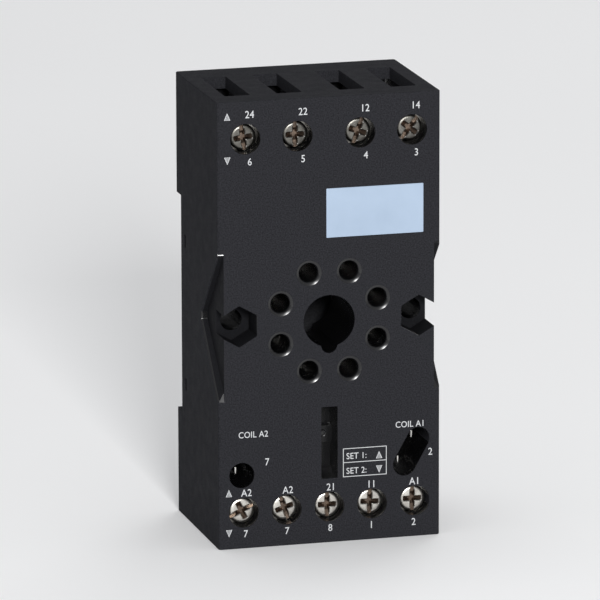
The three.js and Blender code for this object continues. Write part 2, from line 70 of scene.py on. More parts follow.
HOUSING_LOW, HOUSING_HIGH = box_mm("housing")
SIDE = HOUSING_HIGH.x
FRONT = HOUSING_LOW.y
BACK = HOUSING_HIGH.y
BOTTOM = HOUSING_LOW.z
TOP = HOUSING_HIGH.z
SCREWS = sorted(n for n in frame["nodes"] if n.startswith("terminal_screw_"))
PLATES = sorted(n for n in frame["nodes"] if n.startswith("clamp_plate_"))
NUTS = sorted(n for n in frame["nodes"] if n.startswith("thread_nut_"))
STRIPS = sorted(n for n in frame["nodes"] if n.startswith("contact_strip_"))
PIN_CONTACTS = sorted(n for n in frame["nodes"] if n.startswith("pin_contact_"))
MODULE_CONTACTS = sorted(n for n in frame["nodes"] if n.startswith("module_contact_"))


def body_of_node(node):
    bodies = frame["record"]["behaviour"]["bodies"]
    return next(body for body, nodes in bodies.items() if node in nodes)


# Mesh building ----------------------------------------------------------------------------------
def new_object(name, bm, smooth_angle=None):
    """Makes an object from a bmesh in millimetres and frees the bmesh."""
    bmesh.ops.recalc_face_normals(bm, faces=bm.faces)
    bmesh.ops.scale(bm, vec=(MM, MM, MM), verts=bm.verts)
    mesh = bpy.data.meshes.new(name)
    bm.to_mesh(mesh)
    bm.free()
    piece = bpy.data.objects.new(name, mesh)
    bpy.context.scene.collection.objects.link(piece)
    if smooth_angle is not None:
        smooth(piece, smooth_angle)
    return piece


def smooth(piece, angle=35):
    """Smooth shading with sharp edges above the angle, and flat faces kept flat by area weighting."""
    mesh = piece.data
    mesh.polygons.foreach_set("use_smooth", [True] * len(mesh.polygons))
    mesh.set_sharp_from_angle(angle=math.radians(angle))
    if "weights" not in piece.modifiers:
        modifier = piece.modifiers.new("weights", "WEIGHTED_NORMAL")
        modifier.keep_sharp = True
    return piece


def apply_modifiers(piece):
    """Replaces a piece's mesh by what its modifiers make of it."""
    bpy.context.view_layer.update()
    graph = bpy.context.evaluated_depsgraph_get()
    made = bpy.data.meshes.new_from_object(piece.evaluated_get(graph), depsgraph=graph)
    piece.modifiers.clear()
    old = piece.data
    piece.data = made
    made.name = piece.name
    bpy.data.meshes.remove(old)
    return piece


def loft(bm, rings, closed_ends=True):
    """Joins rings of points, each with the same number of points, into a closed tube with flat ends."""
    made = [[bm.verts.new(p) for p in ring] for ring in rings]
    for lower, upper in zip(made, made[1:]):
        count = len(lower)
        for i in range(count):
            j = (i + 1) % count
            bm.faces.new((lower[i], lower[j], upper[j], upper[i]))
    if closed_ends:
        bm.faces.new(made[0])
        bm.faces.new(list(reversed(made[-1])))
    return made


def turn(bm, x, z, profile, sides=48):
    """Turns a profile of (radius, y), which starts and ends on the axis, about the Y line through (x, z)."""
    rings = []
    for radius, y in profile[1:-1]:
        ring = []
        for i in range(sides):
            angle = 2 * math.pi * i / sides
            ring.append(Vector((x + radius * math.sin(angle), y, z + radius * math.cos(angle))))
        rings.append(ring)
    made = loft(bm, rings, closed_ends=False)
    for ring, (_, y) in ((made[0], profile[0]), (made[-1], profile[-1])):
        tip = bm.verts.new((x, y, z))
        for i in range(sides):
            bm.faces.new((ring[i], ring[(i + 1) % sides], tip))
    return made


# Outlines: functions of an outward offset that always give the same number of points -----------
def circle(u, v, radius, points=64):
    def outline(offset):
        r = radius + offset
        turns = [2 * math.pi * i / points for i in range(points)]
        return [(u + r * math.cos(a), v + r * math.sin(a)) for a in turns]
    return outline


def rounded(corners, radius, steps=5):
    """A polygon given counter-clockwise, with its corners rounded."""
    def outline(offset):
        made = []
        count = len(corners)
        for i, (cu, cv) in enumerate(corners):
            before, after = corners[i - 1], corners[(i + 1) % count]
            first = edge_normal(before, (cu, cv))
            second = edge_normal((cu, cv), after)
            turn_by = math.atan2(
                first[0] * second[1] - first[1] * second[0],
                first[0] * second[0] + first[1] * second[1],
            )
            inward = radius if turn_by > 0 else -radius
            scale = inward / (1 + math.cos(turn_by))
            centre = (cu - (first[0] + second[0]) * scale, cv - (first[1] + second[1]) * scale)
            start = math.atan2(first[1], first[0])
            for k in range(steps + 1):
                angle = start + turn_by * k / steps
                reach = inward + offset
                made.append((centre[0] + reach * math.cos(angle), centre[1] + reach * math.sin(angle)))
        return made
    return outline


def edge_normal(a, b):
    length = math.hypot(b[0] - a[0], b[1] - a[1])
    return ((b[1] - a[1]) / length, -(b[0] - a[0]) / length)


def rectangle(u0, u1, v0, v1, radius=0.2, steps=4):
    return rounded([(u0, v0), (u1, v0), (u1, v1), (u0, v1)], radius, steps)


def capsule(a, b, radius, points=24):
    """The outline round two equal circles."""
    def outline(offset):
        r = radius + offset
        along = math.atan2(b[1] - a[1], b[0] - a[0])
        made = []
        for centre, start in ((b, along - math.pi / 2), (a, along + math.pi / 2)):
            for i in range(points + 1):
                angle = start + math.pi * i / points
                made.append((centre[0] + r * math.cos(angle), centre[1] + r * math.sin(angle)))
        return made
    return outline


def keyed_circle(radius, notch_radius, drop, points=72, notch_points=16):
    """A circle at the origin joined to a small one a little below it."""
    def outline(offset):
        big, small = radius + offset, notch_radius + offset
        level = -(big**2 - small**2 + drop**2) / (2 * drop)
        half = math.sqrt(big**2 - level**2)
        start = math.atan2(level, half)
        made = []
        for i in range(points + 1):
            angle = start + (math.pi - 2 * start) * i / points
            made.append((big * math.cos(angle), big * math.sin(angle)))
        first = math.atan2(level + drop, -half)
        last = math.atan2(level + drop, half)
        sweep = (last - first) % (2 * math.pi)
        for i in range(1, notch_points):
            angle = first + sweep * i / notch_points
            made.append((small * math.cos(angle), -drop + small * math.sin(angle)))
        return made
    return outline


# Planes that pockets are sunk from: each turns (u, v, depth) into a point ------------------------
def from_front(u, v, depth):
    return Vector((u, FRONT + depth, v))


def from_back(u, v, depth):
    return Vector((u, BACK - depth, v))


def from_seat(u, v, depth):
    return Vector((u, -depth, v))


def from_top(u, v, depth):
    return Vector((u, v, TOP - depth))


def from_bottom(u, v, depth):
    return Vector((u, v, BOTTOM + depth))


def from_left(u, v, depth):
    return Vector((-SIDE + depth, u, v))


def from_right(u, v, depth):
    return Vector((SIDE - depth, u, v))


def lip_levels(lip, steps=4):
    """(offset, depth) down the round lip of a pocket."""
    quarter = [math.pi / 2 * i / steps for i in range(steps + 1)]
    return [(lip * (1 - math.sin(a)), lip * (1 - math.cos(a))) for a in quarter]


def sink(bm, plane, outline, depth, lip=0.15, start=0.0, above=1.0):
    """Adds the solid of a pocket whose mouth, with its round lip, lies at the depth start."""
    mouth = [(o, start + d) for o, d in lip_levels(lip)] if lip else []
    levels = [(lip, start - above), *mouth, (0, depth)]
    loft(bm, [[plane(u, v, d) for u, v in outline(offset)] for offset, d in levels])


def subtract(piece, bm_list):
    """Cuts each bmesh of closed, separate solids out of a piece."""
    collection = bpy.data.collections.new("cutters")
    cutters = [new_object(f"cutter_{i}", bm) for i, bm in enumerate(bm_list)]
    for cutter in cutters:
        bpy.context.scene.collection.objects.unlink(cutter)
        collection.objects.link(cutter)
    bpy.context.scene.collection.children.link(collection)
    modifier = piece.modifiers.new("cut", "BOOLEAN")
    modifier.operation = "DIFFERENCE"
    modifier.operand_type = "COLLECTION"
    modifier.collection = collection
    modifier.solver = "MANIFOLD"
    apply_modifiers(piece)
    for cutter in cutters:
        mesh = cutter.data
        bpy.data.objects.remove(cutter)
        bpy.data.meshes.remove(mesh)
    bpy.data.collections.remove(collection)
    return piece


# Materials --------------------------------------------------------------------------------------
def new_material(name):
    material = bpy.data.materials.new(name)
    material.use_nodes = True
    nodes = material.node_tree.nodes
    return material, nodes, material.node_tree.links, nodes["Principled BSDF"]


def noise(nodes, links, scale, detail=4.0, roughness=0.55, stretch=None):
    """Noise in the object's own metres; scale is in features per metre."""
    coordinates = nodes.new("ShaderNodeTexCoord")
    texture = nodes.new("ShaderNodeTexNoise")
    texture.inputs["Scale"].default_value = scale
    texture.inputs["Detail"].default_value = detail
    texture.inputs["Roughness"].default_value = roughness
    if stretch is None:
        links.new(coordinates.outputs["Object"], texture.inputs["Vector"])
    else:
        mapping = nodes.new("ShaderNodeMapping")
        mapping.inputs["Scale"].default_value = stretch
        links.new(coordinates.outputs["Object"], mapping.inputs["Vector"])
        links.new(mapping.outputs["Vector"], texture.inputs["Vector"])
    return texture.outputs["Fac"]


def ramp(nodes, links, value, stops):
    """A colour ramp over a value; stops are (position, colour)."""
    made = nodes.new("ShaderNodeValToRGB")
    elements = made.color_ramp.elements
    while len(elements) < len(stops):
        elements.new(0.5)
    for element, (position, colour) in zip(elements, stops):
        element.position = position
        element.color = (*colour, 1.0) if len(colour) == 3 else colour
    links.new(value, made.inputs["Fac"])
    return made.outputs["Color"]


def grey(value):
    return (value, value, value)


def bump(nodes, links, heights, distance, strength=1.0, normal=None):
    made = nodes.new("ShaderNodeBump")
    made.inputs["Strength"].default_value = strength
    made.inputs["Distance"].default_value = distance
    links.new(heights, made.inputs["Height"])
    if normal is not None:
        links.new(normal, made.inputs["Normal"])
    return made.outputs["Normal"]


def moulded_plastic(name, colour, speckle, grain_mm, grain_height_mm, rough, shine):
    """Black thermoplastic with the fine grain that a spark-eroded mould leaves."""
    material, nodes, links, shader = new_material(name)
    fine = noise(nodes, links, 1 / (grain_mm * MM), detail=3.0, roughness=0.6)
    broad = noise(nodes, links, 1 / (grain_mm * 9 * MM), detail=5.0)
    dark = tuple(c * (1 - speckle) for c in colour)
    light = tuple(c * (1 + speckle) for c in colour)
    links.new(ramp(nodes, links, fine, [(0.36, dark), (0.66, light)]), shader.inputs["Base Color"])
    low, high = rough
    links.new(ramp(nodes, links, broad, [(0.3, grey(low)), (0.7, grey(high))]), shader.inputs["Roughness"])
    shader.inputs["Specular IOR Level"].default_value = shine
    waves = bump(nodes, links, broad, grain_height_mm * 2.5 * MM, 0.5)
    links.new(bump(nodes, links, fine, grain_height_mm * MM, 1.0, waves), shader.inputs["Normal"])
    return material


def metal(name, colour, tarnish, rough, scratch=(1, 1, 1), scratch_mm=0.12, dent_mm=0.004):
    """Plated or stamped metal: uneven tone, fine scratches and slight waviness."""
    material, nodes, links, shader = new_material(name)
    patches = noise(nodes, links, 1 / (0.9 * MM), detail=6.0, roughness=0.62)
    scratches = noise(nodes, links, 1 / (scratch_mm * MM), detail=5.0, roughness=0.7, stretch=scratch)
    links.new(ramp(nodes, links, patches, [(0.32, tarnish), (0.6, colour)]), shader.inputs["Base Color"])
    low, high = rough
    worn = ramp(nodes, links, scratches, [(0.3, grey(low)), (0.75, grey(high))])
    links.new(worn, shader.inputs["Roughness"])
    shader.inputs["Metallic"].default_value = 1.0
    links.new(bump(nodes, links, scratches, dent_mm * MM), shader.inputs["Normal"])
    return material


def film(name, colour, edge):
    """A satin marking label with faint unevenness in its print."""
    material, nodes, links, shader = new_material(name)
    tone = noise(nodes, links, 1 / (6 * MM), detail=3.0)
    grain = noise(nodes, links, 1 / (0.25 * MM), detail=2.0)
    links.new(ramp(nodes, links, tone, [(0.3, edge), (0.7, colour)]), shader.inputs["Base Color"])
    links.new(ramp(nodes, links, grain, [(0.3, grey(0.38)), (0.7, grey(0.5))]), shader.inputs["Roughness"])
    links.new(bump(nodes, links, grain, 0.004 * MM), shader.inputs["Normal"])
    return material


def ink(name, colour):
    """Printing ink that lets a little of the grain under it through."""
    material, nodes, links, shader = new_material(name)
    cover = noise(nodes, links, 1 / (0.2 * MM), detail=3.0)
    worn = tuple(c * 0.8 for c in colour)
    links.new(ramp(nodes, links, cover, [(0.3, worn), (0.5, colour)]), shader.inputs["Base Color"])
    shader.inputs["Roughness"].default_value = 0.55
    return material


BLACK = moulded_plastic("black_plastic", (0.0215, 0.0218, 0.025), 0.34, 0.21, 0.018, (0.6, 0.75), 0.015)
# Polished plastic for the insides of holes: its smoother, shinier finish is real; its much darker base colour
# is painted shade inside the holes
POLISHED_SHADED = moulded_plastic("polished_shaded_plastic", (0.004, 0.004, 0.0045), 0.1, 0.4, 0.002, (0.2, 0.28), 0.3)
# Painted shade: a copy of the grained black, just as rough but darker, for the hex recesses and the side
# pockets' floors and ramps
SHADED_BLACK = moulded_plastic("painted_shade_plastic", (0.011, 0.0112, 0.0128), 0.2, 0.21, 0.012, (0.6, 0.75), 0.03)
GLOSSY = moulded_plastic("glossy_lips", (0.006, 0.006, 0.0068), 0.1, 0.4, 0.002, (0.2, 0.27), 0.55)
DARK = moulded_plastic("dark_plastic", (0.017, 0.0172, 0.0195), 0.25, 0.3, 0.008, (0.42, 0.52), 0.12)
LABEL = film("label_film", (0.335, 0.42, 0.535), (0.3, 0.38, 0.49))
INK = ink("white_ink", (0.53, 0.54, 0.55))
PLATED = metal("plated_steel", (0.68, 0.66, 0.61), (0.47, 0.44, 0.4), (0.24, 0.4), dent_mm=0.008)
# Painted shade: a darker copy of the plated steel for the top row of screw heads
SHADED_PLATING = metal("painted_shade_plating", (0.17, 0.165, 0.15), (0.09, 0.085, 0.076), (0.24, 0.4), dent_mm=0.012)
# Painted highlight: near-white metal on the edges of the screws' drive recesses
EDGE_HIGHLIGHT = metal("painted_highlight_edges", (0.95, 0.93, 0.88), (0.8, 0.78, 0.72), (0.3, 0.45), dent_mm=0.004)
# Steel for the screws' drive slots and crosses: brown tarnish, darkened further as painted shade
TARNISH_AND_SHADE = metal("tarnish_and_shade_steel", (0.18, 0.135, 0.105), (0.08, 0.062, 0.05), (0.35, 0.5), dent_mm=0.012)
SPRING = metal("spring_steel", (0.6, 0.6, 0.6), (0.45, 0.44, 0.42), (0.22, 0.34), (1, 1, 12))
BRASS = metal("stamped_brass", (0.83, 0.62, 0.3), (0.6, 0.42, 0.2), (0.26, 0.4), (1, 1, 8))
DULL_BRASS = metal("dull_brass", (0.3, 0.24, 0.14), (0.16, 0.12, 0.07), (0.4, 0.55), (1, 1, 8))
TIN = metal("tinned_bronze", (0.7, 0.69, 0.66), (0.46, 0.45, 0.42), (0.14, 0.2), (1, 14, 1))


def give(piece, *materials):
    piece.data.materials.clear()
    for material in materials:
        piece.data.materials.append(material)
    return piece


# Housing ----------------------------------------------------------------------------------------
# Sizes that the frame's boxes don't give; the same names and values as in the part's own source
CORNER = 0.5
WALL = 1.9
END_WALL = 1.85
BAY_DEPTH = 17.3
STRIP_BAY_DEPTH = 15
STRIP_BAY_HALF = 27.2
RAIL_TOP = 16.9
RAIL_BOTTOM = -19.2
PIN_HOLE = 1.45
PIN_LEAD = 2.075
PIN_LEAD_DEPTH = 1.6
CONTACT_BORE = 2.05
CONTACT_BORE_DEPTH = 8.5
KEY_BORE = 4.2
KEY_NOTCH = 1.3
KEY_NOTCH_DROP = 3.95
PANEL_X = 14.95
HEX_FLATS = 5.85
HEX_DEPTH = 5.2
PANEL_HOLE = 1.75
PANEL_TUBE = 2.5  # stays inside the floor of the side pocket
POCKET_DEPTH = 1
POCKET_LENGTH = 10.4
POCKET_EDGE = 0.24  # the bright upright edge of the ramp
POCKET_APEX = (-0.8, 0.4)
POCKET_TOP = 12.9
WELL = 2.45
CHAMBER_HALF = 2.9
CHAMBER_FRONT = 3.2
CHAMBER_INNER = 3.6
CHAMBER_OUTER = 3.4
FUNNEL_HALF = 2.05
FUNNEL_NECK_HALF = 1.85
FUNNEL_FRONT = 4.9
FUNNEL_BACK = 20.2
FUNNEL_NECK_BACK = 19.6
LATCH_SLOT_HALF = 7
MODULE_HOLE_DEPTH = 11
SLOT_HALF = 1.35
SLOT_TOP = -14.2
SLOT_FOOT = -26.1
SLOT_BAR_TOP = -18.2
SLOT_BAR_FOOT = -20.9
SLOT_STEP = -25.3
SLOT_FLOOR = 4.8
SLOT_LEDGE = 3.6
BUTTON_PLACE = (-0.25, -19.4)
SNAP_HEIGHTS = (9.7, -14.2)
DEEP = STRIP_BAY_DEPTH + 1


def screw_places():
    """(x, z) of each terminal screw."""
    return [(c.x, c.z) for c in (centre_mm(n) for n in PLATES)]


def housing_block():
    """The outer block: upright edges rounded, ends finely rounded."""
    bm = bmesh.new()
    plan = rounded([(-SIDE, FRONT), (SIDE, FRONT), (SIDE, BACK), (-SIDE, BACK)], CORNER, 6)
    ends = lip_levels(0.16)
    levels = []
    for offset, depth in ends:
        levels.append((-offset, BOTTOM + depth))
    for offset, depth in reversed(ends):
        levels.append((-offset, TOP - depth))
    loft(bm, [[Vector((u, v, z)) for u, v in plan(offset)] for offset, z in levels])
    return new_object("housing_shell", bm)


def pin_hole_cutters(bm):
    """Funnel mouths that lead a relay's pins into the contacts: an open chamfer, then a steep throat."""
    throat = [
        (PIN_LEAD + 0.04, -1), (PIN_LEAD + 0.04, 0), (PIN_LEAD, 0.04),
        (PIN_LEAD - 0.34, 0.17), (PIN_LEAD - 0.4, 0.21), (PIN_LEAD - 0.56, 0.5), (PIN_HOLE, PIN_LEAD_DEPTH),
        (PIN_HOLE, CONTACT_BORE_DEPTH), (CONTACT_BORE, CONTACT_BORE_DEPTH), (CONTACT_BORE, DEEP),
    ]
    for node in PIN_CONTACTS:
        centre = centre_mm(node)
        outline = circle(centre.x, centre.z, 0, 48)
        loft(bm, [[from_front(u, v, d) for u, v in outline(radius)] for radius, d in throat])


def side_recess_cutters(bm):
    """The V-shaped pocket in each side, with a ramp along its lower edge."""
    apex = FRONT + POCKET_LENGTH
    apex_low, apex_high = POCKET_APEX
    reach = 1.0  # how far the cutter stands out in front of the face
    levels = [
        (-1, 0.04, -12.34), (0, 0.04, -12.34), (POCKET_EDGE, 0, -12.28),
        (0.3, 0, -12.1), (POCKET_DEPTH, 0, -10.95),
    ]
    for plane in (from_left, from_right):
        rings = []
        for depth, offset, low in levels:
            slope = (low - apex_low) / (FRONT - apex)
            start = low - slope * reach
            outline = rounded([
                (FRONT - reach, start), (apex, apex_low), (apex, apex_high), (FRONT - reach, POCKET_TOP),
            ], 0.25, 3)
            rings.append([plane(u, v, depth) for u, v in outline(offset)])
        loft(bm, rings)


# Facets at the pockets' ends: (foot, top, depth gained per millimetre outward, and per millimetre up)
FACETS = ((-12.3, -10.9, 0.11, 0.18), (11.85, 12.0, 0.2, 0.3))


def facet_cutters():
    """The small facets where the side pockets' lips run out on the front face."""
    bm = bmesh.new()
    inner, beyond = SIDE - POCKET_DEPTH, SIDE + 0.5
    for side in (-1, 1):
        for low, high, lean, tilt in FACETS:
            corners = [(inner, low), (beyond, low), (beyond, high), (inner, high)]
            depths = [lean * (u - inner) + tilt * (v - low) for u, v in corners]
            loft(bm, [
                [Vector((side * u, FRONT - 1, v)) for u, v in corners],
                [Vector((side * u, FRONT + depth, v)) for (u, v), depth in zip(corners, depths)],
            ])
    return bm


def panel_cutters():
    """The hexagonal screw recesses, and the holes through them."""
    recesses, holes = bmesh.new(), bmesh.new()
    corner = HEX_FLATS / math.sqrt(3)
    for x in (-PANEL_X, PANEL_X):
        corners = [
            (x + corner * math.sin(math.radians(a)), corner * math.cos(math.radians(a)))
            for a in range(0, -360, -60)
        ]
        sink(recesses, from_front, rounded(corners, 0.18, 3), HEX_DEPTH, lip=0.1)
        hole = circle(x, 0, PANEL_HOLE, 40)
        sink(holes, from_front, hole, BACK - FRONT, lip=0.1, start=HEX_DEPTH, above=0.3)
    return [recesses, holes]


def funnel_cutters(bm):
    """The rectangular wire entries, narrowing through the top and bottom walls."""
    for x, z in screw_places():
        plane = from_top if z > 0 else from_bottom
        front, back = FRONT + FUNNEL_FRONT, FRONT + FUNNEL_BACK
        lip = 0.12
        rings = []
        mouth = [(lip, -1), *lip_levels(lip)]
        for offset, depth in mouth:
            outline = rectangle(x - FUNNEL_HALF, x + FUNNEL_HALF, front, back, 0.25)
            rings.append([plane(u, v, depth) for u, v in outline(offset)])
        neck = rectangle(
            x - FUNNEL_NECK_HALF, x + FUNNEL_NECK_HALF,
            front, FRONT + FUNNEL_NECK_BACK, 0.25,
        )
        for depth in (END_WALL, TOP - abs(z)):
            rings.append([plane(u, v, depth) for u, v in neck(0)])
        loft(bm, rings)


def box_cutter(bm, low, high):
    (x0, y0, z0), (x1, y1, z1) = low, high
    loft(bm, [[Vector(p) for p in ((x, y0, z0), (x, y0, z1), (x, y1, z1), (x, y1, z0))] for x in (x0, x1)])


def bay_cutters():
    """The rear bay, the shallower strip bay, the cored hollows and the terminal chambers."""
    bay, strips, cores, chambers, recess = (bmesh.new() for _ in range(5))
    inner = SIDE - WALL
    box_cutter(bay, (-inner, FRONT + BAY_DEPTH, BOTTOM + END_WALL), (inner, BACK + 1, TOP - END_WALL))
    box_cutter(strips, (-inner, FRONT + STRIP_BAY_DEPTH, -STRIP_BAY_HALF), (inner, BACK - 1, STRIP_BAY_HALF))
    back = FRONT + DEEP
    for x0, x1, z0, z1 in ((-15.5, 15.5, 13.2, 25.4), (3.2, 9.2, -25.4, -13.6), (-11.6, -3.2, -25.4, -13.6)):
        box_cutter(cores, (x0, FRONT + 2.6, z0), (x1, back, z1))
    for x, z in screw_places():
        side = 1 if z > 0 else -1
        z0, z1 = sorted((z - side * CHAMBER_INNER, z + side * CHAMBER_OUTER))
        low = (x - CHAMBER_HALF, FRONT + CHAMBER_FRONT, z0)
        high = (x + CHAMBER_HALF, FRONT + BAY_DEPTH + 1, z1)
        box_cutter(chambers, low, high)
    across = rectangle(-SIDE - 2, SIDE + 2, RAIL_BOTTOM, RAIL_TOP, 0.12)
    sink(recess, from_back, across, BACK, lip=0.22)
    return [bay, strips, cores, chambers, recess]


def well_cutters(bm):
    for x, z in screw_places():
        sink(bm, from_front, circle(x, z, WELL, 56), CHAMBER_FRONT + 0.5, lip=0.14)


def key_slot_cutters():
    """The upright slot below the pins, with a cross bar part-way down and a step at its foot."""
    deep, shallow = bmesh.new(), bmesh.new()
    whole = rectangle(-SLOT_HALF, SLOT_HALF, SLOT_FOOT, SLOT_TOP, 0.1, 2)
    sink(shallow, from_front, whole, SLOT_LEDGE, lip=0.06)
    for low, high in ((SLOT_BAR_TOP, SLOT_TOP), (SLOT_STEP, SLOT_BAR_FOOT)):
        outline = rectangle(-SLOT_HALF, SLOT_HALF, low, high, 0.1, 2)
        sink(deep, from_front, outline, SLOT_FLOOR, lip=0.0, start=SLOT_LEDGE, above=0.2)
    return [shallow, deep]


def small_cutters():
    """Module sockets, label recess, snap windows and the latch's notch."""
    fronts, windows, notch = bmesh.new(), bmesh.new(), bmesh.new()
    lone, upper, lower = (centre_mm(f"module_contact_{n}") for n in ("A2", "A1_upper", "A1_lower"))
    sink(fronts, from_front, circle(lone.x, lone.z, 2.05, 48), MODULE_HOLE_DEPTH, lip=0.16)
    slot = capsule((lower.x, lower.z), (upper.x, upper.z), 1.875)
    sink(fronts, from_front, slot, MODULE_HOLE_DEPTH, lip=0.16)
    low, high = box_mm("label")
    rim = 0.04
    label = rectangle(low.x - rim, high.x + rim, low.z - rim, high.z + rim, 0.15, 3)
    sink(fronts, from_front, label, high.y - FRONT + 0.02, lip=0.03)
    for z in SNAP_HEIGHTS:
        for plane in (from_left, from_right):
            sink(windows, plane, rectangle(-2.9, -1.7, z - 1, z + 1, 0.15, 3), WALL + 1, lip=0.1)
    box_cutter(notch, (-LATCH_SLOT_HALF, 0, BOTTOM - 1), (LATCH_SLOT_HALF, BACK + 1, BOTTOM + END_WALL + 0.1))
    return [fronts, windows, notch]


def panel_bosses():
    """The tubes that carry the panel screws through the housing, in one mesh."""
    bm = bmesh.new()
    front, back = FRONT + HEX_DEPTH + 1, -2.5
    for x in (-PANEL_X, PANEL_X):
        outer = circle(x, 0, PANEL_TUBE, 40)
        inner = circle(x, 0, PANEL_HOLE, 40)
        rings = [
            [Vector((u, front, v)) for u, v in outer(0)],
            [Vector((u, back, v)) for u, v in outer(0)],
            [Vector((u, back, v)) for u, v in inner(0)],
            [Vector((u, front, v)) for u, v in inner(0)],
        ]
        loft(bm, [*rings, rings[0]], closed_ends=False)
    bmesh.ops.remove_doubles(bm, verts=bm.verts, dist=1e-5)
    return bm


LIP_FACE = 0.5  # the lips of holes are made of faces smaller than this, in square millimetres
GRAINED_SLOT, POLISHED_SHADED_SLOT, GLOSSY_SLOT, SHADED_BLACK_SLOT = range(4)


def paint_housing(shell):
    """Grained outside; polished in the holes, with a darker base colour as painted shade; glossy on lips and
    facets; a darker copy of the grained black as painted shade in recesses and pockets.
    """
    give(shell, BLACK, POLISHED_SHADED, GLOSSY, SHADED_BLACK)
    for face in shell.data.polygons:
        x, y, z = face.center / MM
        outside = (
            abs(x) > SIDE - 1.9 or abs(z) > TOP - END_WALL + 0.05
            or y < FRONT + 0.04 or y > BACK - 0.25 or (abs(y) < 0.1 and RAIL_BOTTOM < z < RAIL_TOP)
        )
        at_mouth = y < FRONT + 0.6 and face.area < LIP_FACE * MM * MM
        near_pocket = abs(z) < POCKET_TOP + 0.6 and y < FRONT + POCKET_LENGTH + 0.2
        depth = SIDE - abs(x)  # in from the socket's side
        ramp_edge = near_pocket and z < 0 and 0.005 < depth < POCKET_EDGE and y > FRONT + 0.3
        facet = near_pocket and depth < POCKET_DEPTH + 0.05 and y > FRONT + 0.005 and face.normal.y < -0.85
        sunk = near_pocket and POCKET_EDGE < depth < POCKET_DEPTH + 0.02 and y > FRONT + 0.1
        in_recess = FRONT + 0.04 < y < FRONT + 5.4 and abs(z) < 3.4 and 11.9 < abs(x) < SIDE - 0.3
        if facet or ramp_edge or (at_mouth and not outside):
            face.material_index = GLOSSY_SLOT
        elif in_recess or sunk:
            # Painted shade: the hex recesses and the pockets' floors and ramps get the darker copy of the
            # black
            face.material_index = SHADED_BLACK_SLOT
        else:
            # Faces inside the holes get the polished plastic, whose darker base colour is painted shade
            face.material_index = GRAINED_SLOT if outside else POLISHED_SHADED_SLOT
    bm = bmesh.new()
    bm.from_mesh(shell.data)
    for edge in bm.edges:
        if len({face.material_index for face in edge.link_faces}) == 2:
            edge.smooth = False
    bm.to_mesh(shell.data)
    bm.free()


def make_housing():
    shell = housing_block()
    holes, wells, funnels, sides = (bmesh.new() for _ in range(4))
    pin_hole_cutters(holes)
    well_cutters(wells)
    funnel_cutters(funnels)
    side_recess_cutters(sides)
    bore = bmesh.new()
    sink(bore, from_front, keyed_circle(KEY_BORE, KEY_NOTCH, KEY_NOTCH_DROP), DEEP, lip=0.2)
    subtract(shell, [
        holes, wells, funnels, sides, bore, facet_cutters(),
        *panel_cutters(), *bay_cutters(), *key_slot_cutters(), *small_cutters(),
    ])
    smooth(shell, 32)
    paint_housing(shell)
    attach(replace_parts(shell, "housing"), "root")
    button = bmesh.new()
    ledge = FRONT + SLOT_LEDGE
    turn(button, *BUTTON_PLACE, [
        (0, ledge - 0.1), (0.3, ledge - 0.1), (0.36, ledge - 0.3), (0.5, ledge - 0.34),
        (0.6, ledge - 0.26), (0.62, ledge + 0.1), (0, ledge + 0.1),
    ], 24)
    mark = new_object("slot_button", button, 30)
    give(mark, GLOSSY)
    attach(mark, "root")
    bosses = new_object("panel_bosses", panel_bosses(), 35)
    give(bosses, POLISHED_SHADED)
    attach(bosses, "root")


# Terminals ----------------------------------------------------------------------------------------
HEAD = 2.18
HEAD_THICK = 1.5
SHANK = 1.5
PITCH = 0.6
THREAD = 0.24
RECESS_EDGE = 0.12

# How far each screw's slot is turned clockwise from upright, in degrees
SCREW_TURNS = {
    "24": -8, "22": 0, "12": 20, "14": 38,
    "A2_left": 65, "A2_right": -18, "21": 0, "11": 2, "A1": 0,
}


def plus_outline(half, reach):
    """A cross of four equal arms, counter-clockwise."""
    quarter = [(half, -reach), (half, -half), (reach, -half), (reach, half)]
    corners = []
    for i in range(4):
        c, s = math.cos(math.pi / 2 * i), math.sin(math.pi / 2 * i)
        corners += [(c * u - s * v, s * u + c * v) for u, v in quarter[1:]]
    return rounded(corners, 0.07, 2)(0)


def drive_cutters(top):
    """The slot across the head, and the tapering cross in its middle."""
    slot, cross = bmesh.new(), bmesh.new()
    levels = (
        (-0.5, 0.5, 1.62), (0, 0.5, 1.62), (RECESS_EDGE, 0.38, 1.48),
        (0.55, 0.35, 1.2), (1.15, 0.22, 0.55),
    )
    loft(cross, [[Vector((u, top + d, v)) for u, v in plus_outline(h, r)] for d, h, r in levels])
    across = rectangle(-0.29, 0.29, -3, 3, 0.05, 2)
    rings = ((-0.5, RECESS_EDGE), (0, RECESS_EDGE), (RECESS_EDGE, 0), (0.72, 0))
    loft(slot, [[Vector((u, top + d, v)) for u, v in across(o)] for d, o in rings])
    return [slot, cross]


